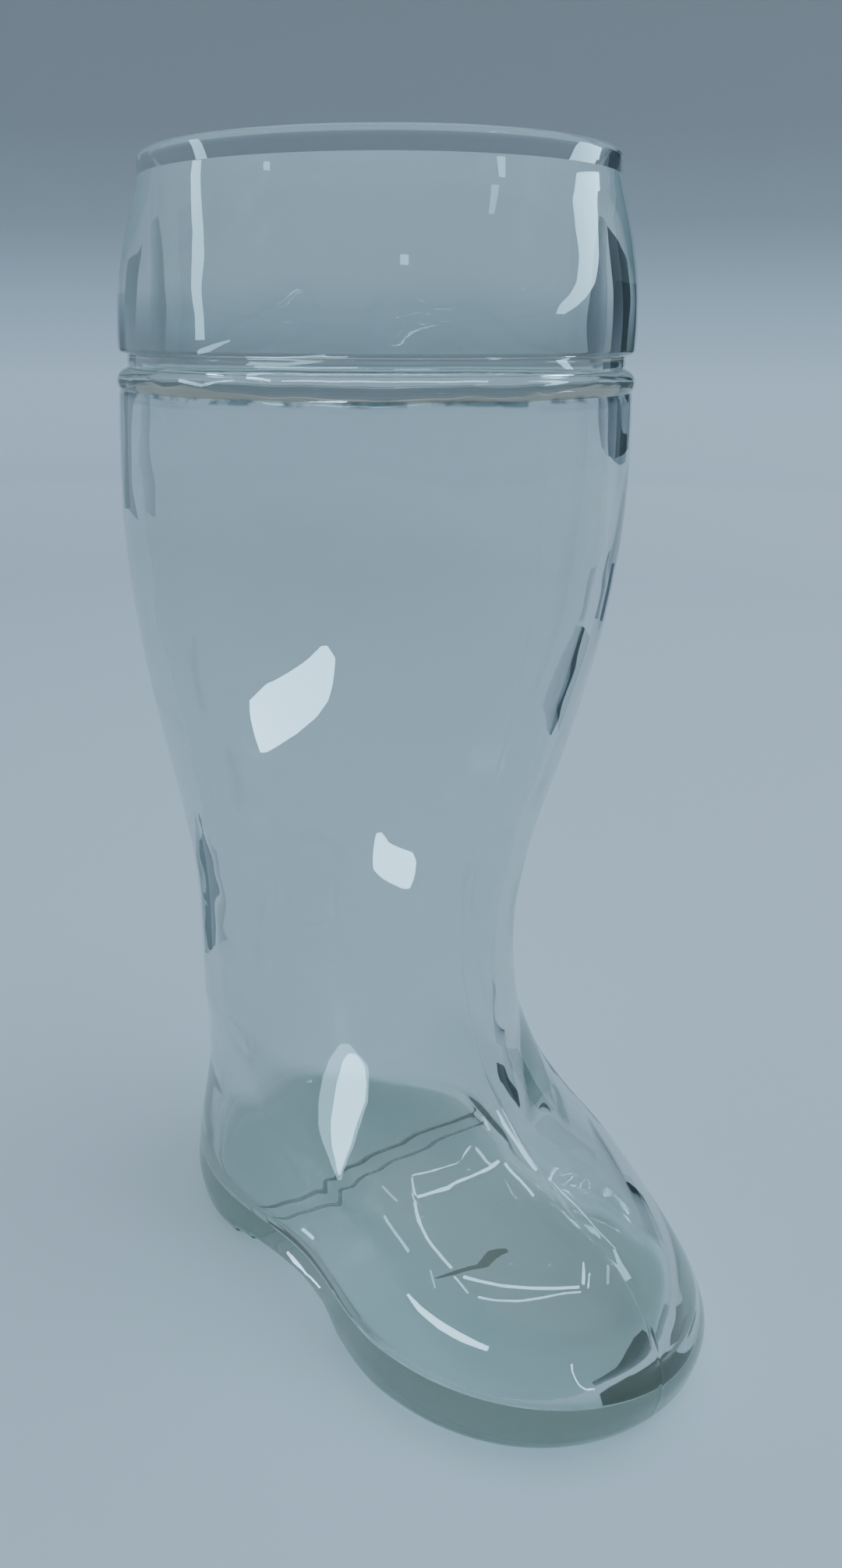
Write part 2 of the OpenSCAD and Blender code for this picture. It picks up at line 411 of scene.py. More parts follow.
@dataclass
class BootGlass:
    """The boot's skin: outside from the sole to the lip, then inside down to the cavity's floor."""

    name: str = "boot_glass"
    shaft: ShaftSizes = field(default_factory=ShaftSizes)
    foot: FootSizes = field(default_factory=FootSizes)
    plan: SolePlan = field(default_factory=SolePlan)
    even_points: int = 132
    pitch: float = 1.3
    seam_height: float = 0.10
    seam_half_turn: float = 0.75
    seam_turns: Tuple[float, ...] = (0.35, 0.8, 1.5)
    sharp_angle: float = 50.0
    swell_pitch: float = 1.0
    step_pitch: float = 0.45
    lip_pitch: float = 0.8
    inner_wave: float = 0.16
    outer_wave: float = 0.05

    def angles(self) -> List[float]:
        """Angles of an outline's points, closer together at the two mould seams."""
        close = [s * math.radians(d) for d in self.seam_turns for s in (-1, 1)]
        even = [2 * math.pi * i / self.even_points for i in range(self.even_points)]
        extra = [(base + c) % (2 * math.pi) for base in (0.0, math.pi) for c in close]
        return sorted(even + extra)

    def shaft_station(self, row: Sequence[float], wall_low: float, wall_high: float) -> Station:
        """A station of the shaft from its shares.

        Args:
            row: Share of the height, then the shares at the back, front and side.
            wall_low: Inset at the instep.
            wall_high: Inset at the bead.

        Returns:
            The station in real sizes.
        """
        s, f = self.shaft, self.foot
        inset = wall_low + (wall_high - wall_low) * row[0]
        return Station(
            f.foot_h + row[0] * (s.bead_z - f.foot_h),
            s.ankle_back + row[1] * (s.calf_r - s.ankle_back) - inset,
            s.ankle_front + row[2] * (s.calf_r - s.ankle_front) - inset,
            s.ankle_half + row[3] * (s.calf_r - s.ankle_half) - inset,
            0.0,
            row[4],
        )

    def foot_station(self, row: Sequence[float], low: float, high: float, inner: bool = False) -> Station:
        """A station of the foot from its shares.

        Args:
            row: Shares of the height, heel, toe and half width, then the two outline shares.
            low: Height of the rows' first station.
            high: Height of the rows' last station.
            inner: True for the cavity's reaches.

        Returns:
            The station in real sizes.
        """
        f = self.foot
        walls = (f.heel_wall, f.toe_wall, f.side_wall) if inner else (0.0, 0.0, 0.0)
        return Station(
            low + row[0] * (high - low),
            row[1] * (f.heel_reach - walls[0]),
            row[2] * (f.toe_reach - walls[1]),
            row[3] * (f.half_w - walls[2]),
            row[4],
            row[5],
        )

    def outer_stations(self) -> List[Station]:
        """Stations up the outside, from the sole's edge to the lip's outer side."""
        s, f = self.shaft, self.foot
        edge = [self.foot_station(r, 0.0, f.arch_h) for r in f.edge]
        base = [self.foot_station(r, f.arch_h, f.base_t) for r in f.base]
        foot = [self.foot_station(r, f.base_t, f.foot_h) for r in f.foot]
        shaft = [self.shaft_station(r, 0.0, 0.0) for r in s.shares]
        rows = [*edge, *base, *foot, *shaft, round_station(s.bead_z, s.calf_top_r)]
        body = blend_stations(rows, self.pitch)
        bead_round = (s.groove_z - s.bead_z) / 2
        bead = arc(s.bead_r - bead_round, s.bead_z + bead_round, bead_round, -40, 90, 14)
        inner, outer = s.groove_round, s.cuff_round
        groove_low = arc(s.groove_r + inner, s.groove_z + inner, inner, 260, 180, 4)
        groove_high = arc(s.groove_r + inner, s.cuff_z - inner, inner, 180, 100, 4)
        cuff_edge = arc(s.cuff_r - outer, s.cuff_z + outer, outer, -90, 0, 8)
        swell = blend_stations([cuff_edge[-1], *(round_station(z, r) for z, r in s.cuff)], self.swell_pitch)
        return [*body, *bead, *groove_low, *groove_high, *cuff_edge, *swell]

    def lip_stations(self) -> List[Station]:
        """Stations over the rounded lip, from the outside to the inside."""
        s = self.shaft
        half = (s.rim_r - s.rim_in_r) / 2
        shoulder = s.total_h - half
        first, last = round_station(s.rim_z, s.rim_r), round_station(s.rim_z, s.rim_in_r)
        up = straight(first, round_station(shoulder, s.rim_r), self.lip_pitch)
        down = straight(round_station(shoulder, s.rim_in_r), last, self.lip_pitch)
        over = arc(s.rim_in_r + half, shoulder, half, 0, 180, 16)
        return [first, *up, *over, *down, last]

    def inner_stations(self) -> List[Station]:
        """Stations down the inside, from the lip to the cavity's floor."""
        s, f = self.shaft, self.foot
        neck = round_station(s.groove_z + 0.6, s.cuff_in_r)
        cuff = straight(round_station(s.rim_z, s.rim_in_r), neck, self.pitch)
        step = blend_stations(
            [
                neck,
                round_station(s.groove_z - 1.2, s.cuff_in_r + 0.1),
                round_station(s.groove_z - 2.6, s.cuff_in_r + 0.7),
                round_station(s.bead_z + 0.8, s.calf_top_r - s.calf_wall - 0.35),
                round_station(s.bead_z - 0.8, s.calf_top_r - s.calf_wall),
            ],
            self.step_pitch,
        )
        shaft = [self.shaft_station(r, s.ankle_wall, s.calf_wall) for r in reversed(s.shares)]
        cavity = [self.foot_station(r, f.base_t, f.foot_h, inner=True) for r in reversed(f.cavity)]
        body = blend_stations([step[-1], *shaft, *cavity], self.pitch)
        floor = [cavity[-1].scaled(share, f.base_t - dip) for share, dip in f.floor]
        return [*cuff, *step, *body[1:], *floor]

    def seam(self, angle: float) -> float:
        """Height of the mould seam's ridge at an angle, in millimetres."""
        off = min(abs((angle - base + math.pi) % (2 * math.pi) - math.pi) for base in (0.0, math.pi))
        turn = math.degrees(off) / self.seam_half_turn
        return self.seam_height * (0.5 + 0.5 * math.cos(math.pi * min(turn, 1.0)))

    def point(self, station: Station, angle: float, side: Side) -> Vector:
        """A point of the skin.

        Args:
            station: The outline.
            angle: Angle from the heel's back.
            side: The skin that the outline belongs to.

        Returns:
            The point in metres.
        """
        c = math.cos(angle)
        sole = 1 + station.sole * (self.plan.factor(angle) - 1)
        instep = 1 - station.instep * min(c, 0.0) ** 2
        x = -station.back + (station.back + station.front) * (1 - c) / 2
        y = -station.half * math.sin(angle) * sole * instep
        outward = Vector((-c, -math.sin(angle), 0.0))
        place = Vector((x, y, station.z))
        if side is Side.OUTER:
            swell = noise.noise(place * 0.045) * 0.5 - 0.5
            ridge = self.seam(angle) - self.seam_height
            place += outward * (self.outer_wave * swell + ridge * self.seam_share(station.z))
        else:
            swell = noise.noise(place * 0.05 + Vector((7.0, 3.0, 1.0)))
            swell += 0.45 * noise.noise(place * 0.13 + Vector((2.0, 9.0, 4.0)))
            place += outward * (self.inner_wave * swell * self.wave_share(station.z))
            place.z += self.step_wave(angle, station.z)
        return place * MM

    def seam_share(self, z: float) -> float:
        """How strongly the mould seam shows at a height: it fades at the sole and under the bead."""
        top = min(max((self.shaft.bead_z - 2.0 - z) / 6.0, 0.0), 1.0)
        low = min(max((z - 2.0) / 6.0, 0.0), 1.0)
        return top * low

    def wave_share(self, z: float) -> float:
        """How far the inner skin wanders at a height: it is smooth near the lip."""
        return min(max((self.shaft.rim_z - z) / 40.0, 0.0), 1.0)

    def step_wave(self, angle: float, z: float) -> float:
        """The uneven lower edge of the step inside the bead, in millimetres of height."""
        near = math.exp(-(((z - self.shaft.bead_z - 1.2) / 2.2) ** 2))
        ring = Vector((math.cos(angle), math.sin(angle), 0.0))
        return near * (0.5 * noise.noise(ring * 5.0) + 0.35 * noise.noise(ring * 13.0))

    def build(self) -> bpy.types.Object:
        """Makes the closed skin of glass.

        Returns:
            The glass object.
        """
        angles = self.angles()
        outer = [(s, Side.OUTER) for s in self.outer_stations() + self.lip_stations()[:-1]]
        inner = [(s, Side.INNER) for s in self.inner_stations()]
        sole = outer[0][0]
        bm = bmesh.new()
        first = bmesh.ops.create_circle(bm, cap_ends=True, segments=len(angles), radius=1.0)["verts"]
        rings = [(sole.scaled(self.foot.sole_share, 0.0), Side.OUTER), *outer, *inner]
        self.set_ring(first, rings[0], angles)
        ring = list(first)
        for station in rings[1:]:
            ring = self.next_ring(bm, ring)
            self.set_ring(ring, station, angles)
        bmesh.ops.contextual_create(bm, geom=ring_edges(bm, ring))
        self.cut_arch(bm)
        bmesh.ops.recalc_face_normals(bm, faces=bm.faces[:])
        piece = place_mesh(self.name, bm)
        piece.data.shade_smooth()
        piece.data.set_sharp_from_angle(angle=math.radians(self.sharp_angle))
        return piece

    def next_ring(self, bm: BMesh, ring: List[Vert]) -> List[Vert]:
        """Draws a new ring out of the last one.

        Args:
            bm: The mesh.
            ring: The last ring's vertices, in order.

        Returns:
            The new ring's vertices, in the same order.
        """
        made = bmesh.ops.extrude_edge_only(bm, edges=ring_edges(bm, ring))["geom"]
        fresh = {v for v in made if isinstance(v, Vert)}
        return [next(e.other_vert(v) for e in v.link_edges if e.other_vert(v) in fresh) for v in ring]

    def set_ring(self, ring: Iterable[Vert], station: Tuple[Station, Side], angles: Sequence[float]) -> None:
        """Places a ring's vertices on its outline.

        Args:
            ring: The vertices, in order.
            station: The outline and the skin that it belongs to.
            angles: The vertices' angles.
        """
        for vert, angle in zip(ring, angles):
            vert.co = self.point(station[0], angle, station[1])

    def arch_lift(self) -> List[Tuple[float, float]]:
        """The underside's rise along the boot: places and heights in metres, from heel to toe."""
        f = self.foot
        turns = [math.radians(t) for t in (0, 22.5, 45, 67.5, 90)]
        r = f.breast_round
        back, front = f.breast_x - f.breast_back, f.breast_x + f.breast_lean
        low = [(back + r * (math.sin(t) - 1), r * (1 - math.cos(t))) for t in turns]
        top = [(front + r * (1 - math.cos(t)), f.arch_h - r * (1 - math.sin(t))) for t in turns]
        ramp = []
        for i in range(f.ramp_steps + 1):
            u = i / f.ramp_steps
            ramp.append((f.sole_rear_x + u * f.ramp_l, f.arch_h * (1 - u * u * (3 - 2 * u))))
        return [(x * MM, h * MM) for x, h in [*low, *top, *ramp]]

    def cut_arch(self, bm: BMesh) -> None:
        """Lifts the sole between the heel and the front sole.

        Args:
            bm: The mesh, with a flat sole.
        """
        top = self.foot.lift_top * MM
        lift = self.arch_lift()
        for x, _ in lift:
            low = [f for f in bm.faces if all(v.co.z < top for v in f.verts)]
            edges = {e for f in low for e in f.edges}
            verts = {v for f in low for v in f.verts}
            geom = [*low, *edges, *verts]
            bmesh.ops.bisect_plane(bm, geom=geom, dist=1e-7, plane_co=(x, 0, 0), plane_no=(1, 0, 0))
        for v in bm.verts:
            if v.co.z < top:
                v.co.z += self.lift_at(v.co.x, lift) * (1 - v.co.z / top)

    def lift_at(self, x: float, lift: Sequence[Tuple[float, float]]) -> float:
        """Height of the underside at a place along the boot.

        Args:
            x: Place along the boot, in metres.
            lift: Places and heights, in order.

        Returns:
            The height in metres.
        """
        if x <= lift[0][0] or x >= lift[-1][0]:
            return 0.0
        for (x0, h0), (x1, h1) in zip(lift, lift[1:]):
            if x0 <= x <= x1:
                return h0 + (h1 - h0) * (x - x0) / max(x1 - x0, 1e-9)
        return 0.0


@dataclass(frozen=True)
class ClearGlass:
    """Clear soda glass with a faint grey green body and a soft, slightly uneven skin.

    Light on its way to the floor passes with the tint shadow. Light that the wall has mirrored
    more often than mirror_depth goes straight on with the tint deep.
    """

    name: str = "clear_glass"
    tint: Colour = (0.885, 0.912, 0.905, 1.0)
    body: Colour = (0.52, 0.60, 0.50, 1.0)
    body_density: float = 25.0
    ior: float = 1.5
    shadow: Colour = (0.935, 0.893, 0.845, 1.0)
    deep: Colour = (0.89, 0.92, 0.92, 1.0)
    # Tone, height and wander of the painted shade line in the step under the bead.
    shade_line_tone: Colour = (0.16, 0.20, 0.20, 1.0)
    shade_line_z: float = 0.1832
    shade_line_wave: float = 0.0016
    mirror_depth: float = 1.5

    def material(self) -> bpy.types.Material:
        """Makes the glass's material.

        Returns:
            The material.
        """
        mat = new_material(self.name)
        tree = mat.node_tree
        tree.nodes.clear()
        place = add_node(tree, "TexCoord").outputs["Object"]
        swell = add_node(tree, "TexNoise", Vector=place, Scale=55.0, Detail=2.0).outputs["Fac"]
        bump = add_node(tree, "Bump", Strength=0.25, Distance=0.0002, Height=swell).outputs["Normal"]
        haze = add_node(tree, "TexNoise", Vector=place, Scale=30.0, Detail=6.0).outputs["Fac"]
        film = add_node(tree, "MapRange", Value=haze, From_Min=0.55, From_Max=0.8, To_Min=0.0, To_Max=0.03)
        shader = add_node(
            tree, "BsdfPrincipled", Base_Color=self.tint, Metallic=0.0, IOR=self.ior, Transmission_Weight=1.0
        )
        # The tint carries a painted shade line under the bead.
        feed(tree, shader.inputs["Base Color"], self.paint_shade_line(tree, place))
        feed(tree, shader.inputs["Roughness"], film.outputs["Result"])
        feed(tree, shader.inputs["Normal"], bump)
        path = add_node(tree, "LightPath").outputs
        deep = add_math(tree, "GREATER_THAN", path["Glossy Depth"], self.mirror_depth)
        onward = add_node(tree, "BsdfTransparent", Color=self.deep).outputs["BSDF"]
        shaded = add_node(tree, "BsdfTransparent", Color=self.shadow).outputs["BSDF"]
        seen = mix_shaders(tree, deep, shader.outputs["BSDF"], onward)
        surface = mix_shaders(tree, path["Is Shadow Ray"], seen, shaded)
        dye = add_node(tree, "VolumeAbsorption", Color=self.body, Density=self.body_density)
        add_node(tree, "OutputMaterial", Surface=surface, Volume=dye.outputs["Volume"])
        return mat

    def paint_shade_line(self, tree: Tree, place: Socket) -> Socket:
        """Paints painted shade into the glass: an uneven dark line in the step under the bead.

        Args:
            tree: The material's nodes.
            place: The object's own coordinates.

        Returns:
            The glass's tint with the painted shade line in it.
        """
        height = add_node(tree, "SeparateXYZ", Vector=place).outputs["Z"]
        wander = add_node(tree, "TexNoise", Vector=place, Scale=90.0, Detail=3.0).outputs["Fac"]
        waved = add_math(tree, "MULTIPLY_ADD", wander, self.shade_line_wave, height)
        off = add_math(tree, "ABSOLUTE", add_math(tree, "SUBTRACT", waved, self.shade_line_z + self.shade_line_wave / 2))
        line = add_node(tree, "MapRange", Value=off, From_Min=0.0003, From_Max=0.0007, To_Min=1.0, To_Max=0.0)
        breaks = add_node(tree, "TexNoise", Vector=place, Scale=160.0, Detail=4.0).outputs["Fac"]
        gate = add_node(tree, "MapRange", Value=breaks, From_Min=0.46, From_Max=0.56)
        mask = add_math(tree, "MULTIPLY", line.outputs["Result"], gate.outputs["Result"])
        mix = tree.nodes.new("ShaderNodeMix")
        mix.data_type = "RGBA"
        for name, value in (("A", self.tint), ("B", self.shade_line_tone), ("Factor", mask)):
            feed(tree, mix.inputs[name], value)
        return mix.outputs["Result"]


@dataclass(frozen=True)
class StagePaint:
    """The pale paint of the floor and its rising edge, with painted light near the bend."""

    name: str = "pale_stage"
    # Painted light: the tone is lighter where the floor nears its bend, to make up for the light that falls off
    # there, and darker up the rising wall.
    tones: Tuple[Tuple[float, Colour], ...] = (
        (0.0, (0.518, 0.668, 0.800, 1.0)),
        (0.8, (0.528, 0.678, 0.815, 1.0)),
        (1.4, (0.680, 0.850, 0.995, 1.0)),
        (1.92, (0.670, 0.825, 0.965, 1.0)),
        (2.09, (0.515, 0.665, 0.765, 1.0)),
        (2.24, (0.375, 0.440, 0.480, 1.0)),
        (2.37, (0.310, 0.352, 0.383, 1.0)),
        (2.9, (0.270, 0.305, 0.325, 1.0)),
    )
    reach: float = 3.5
    roughness: float = 0.7
    gloss: float = 0.2

    def material(self) -> bpy.types.Material:
        """Makes the paint, whose tone follows the way out along the floor and up the rising edge.

        Returns:
            The material.
        """
        mat = new_material(self.name)
        tree = mat.node_tree
        shader = tree.nodes["Principled BSDF"]
        shader.inputs["Roughness"].default_value = self.roughness
        shader.inputs["Specular IOR Level"].default_value = self.gloss
        place = add_node(tree, "SeparateXYZ", Vector=add_node(tree, "TexCoord").outputs["Object"]).outputs
        flat = add_node(tree, "CombineXYZ", X=place["X"], Y=place["Y"]).outputs["Vector"]
        out = add_node(tree, "VectorMath", Vector=flat)
        out.operation = "LENGTH"
        way = add_math(tree, "ADD", out.outputs["Value"], place["Z"])
        ramp = add_node(tree, "ValToRGB", Fac=add_math(tree, "DIVIDE", way, self.reach))
        marks = ramp.color_ramp.elements
        marks[0].position, marks[0].color = 0.0, self.tones[0][1]
        marks[1].position, marks[1].color = self.tones[-1][0] / self.reach, self.tones[-1][1]
        for way_out, colour in self.tones[1:-1]:
            marks.new(way_out / self.reach).color = colour
        tree.links.new(ramp.outputs["Color"], shader.inputs["Base Color"])
        return mat


@dataclass
class Stage:
    """A round floor whose edge rises as a soft wall all round."""

    name: str = "stage_floor"
    floor_r: float = 1.9
    bend_r: float = 0.35
    wall_h: float = 1.6
    air_gap: float = 0.0003
    bend_steps: int = 12
    round_steps: int = 96
    paint: StagePaint = field(default_factory=StagePaint)

    def build(self) -> bpy.types.Object:
        """Makes the stage.

        Returns:
            The stage object.
        """
        bm = bmesh.new()
        flat_r = self.floor_r - self.bend_r
        points = [(0.0, 0.0), (0.3, 0.0), (0.8, 0.0), (flat_r, 0.0)]
        for i in range(1, self.bend_steps + 1):
            turn = math.radians(90 * i / self.bend_steps)
            points.append((flat_r + self.bend_r * math.sin(turn), self.bend_r * (1 - math.cos(turn))))
        points += [(self.floor_r, self.wall_h * 0.6), (self.floor_r, self.wall_h)]
        verts = [bm.verts.new((x, 0.0, z - self.air_gap)) for x, z in points]
        edges = [bm.edges.new(pair) for pair in zip(verts, verts[1:])]
        spun, steps = [*verts, *edges], self.round_steps
        bmesh.ops.spin(bm, geom=spun, cent=(0, 0, 0), axis=(0, 0, 1), angle=math.tau, steps=steps, use_merge=True)
        bmesh.ops.remove_doubles(bm, verts=bm.verts[:], dist=1e-5)
        bmesh.ops.recalc_face_normals(bm, faces=bm.faces[:])
        if sum(f.normal.z for f in bm.faces) < 0:
            bmesh.ops.reverse_faces(bm, faces=bm.faces[:])
        floor = place_mesh(self.name, bm)
        floor.data.shade_smooth()
        floor.data.materials.append(self.paint.material())
        return floor


# The colour of the painted highlight panes, the height of the painted shadow panes under the glass
# in millimetres, and the place in the foot that the low panes face, in metres, with the height up to which they do.
HIGHLIGHT_TONE: Colour = (0.46, 0.79, 1.0, 1.0)
FLOOR_SHADOW_Z = -0.15
FOOT_MIDDLE: Point = (0.04, 0.0, 0.015)
FOOT_TOP = 0.06

